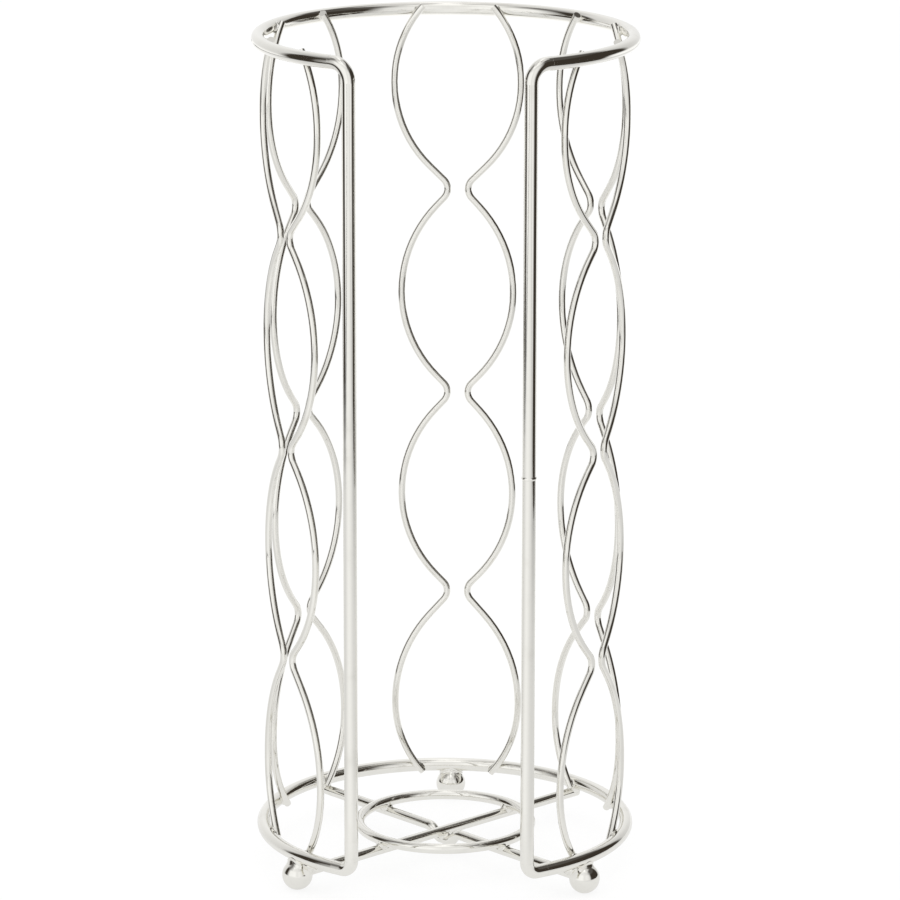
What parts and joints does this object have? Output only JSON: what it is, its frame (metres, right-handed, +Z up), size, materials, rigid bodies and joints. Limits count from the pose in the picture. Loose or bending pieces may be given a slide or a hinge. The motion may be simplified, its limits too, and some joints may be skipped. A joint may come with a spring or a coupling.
{
  "type": "toilet roll holder",
  "caption": "Free-standing wire holder that keeps spare toilet rolls in a column, with an open front slot and ball feet.",
  "frame": {"origin": "on the axis of the two rings, on the surface that the ball feet stand on", "axes": "+Z up along the column of rolls, -Y towards the open front slot, +X to the right for a person in front"},
  "size_m": [0.15, 0.1457, 0.333],
  "materials": {
    "frame_wire": "polished",
    "wave_wire": "polished",
    "base_wire": "polished",
    "ball_feet": "polished"
  },
  "bodies": {
    "root": {"main_frame_wire": "frame_wire", "rear_wave_wire_left": "wave_wire", "rear_wave_wire_right": "wave_wire", "left_rear_wave_wire_aft": "wave_wire", "left_rear_wave_wire_fore": "wave_wire", "left_front_wave_wire_aft": "wave_wire", "left_front_wave_wire_fore": "wave_wire", "right_rear_wave_wire_aft": "wave_wire", "right_rear_wave_wire_fore": "wave_wire", "right_front_wave_wire_aft": "wave_wire", "right_front_wave_wire_fore": "wave_wire", "base_ring": "base_wire", "straight_cross_rod": "base_wire", "cranked_cross_rod": "base_wire", "rear_ball_foot": "ball_feet", "left_front_ball_foot": "ball_feet", "right_front_ball_foot": "ball_feet"}
  },
  "joints": []
}
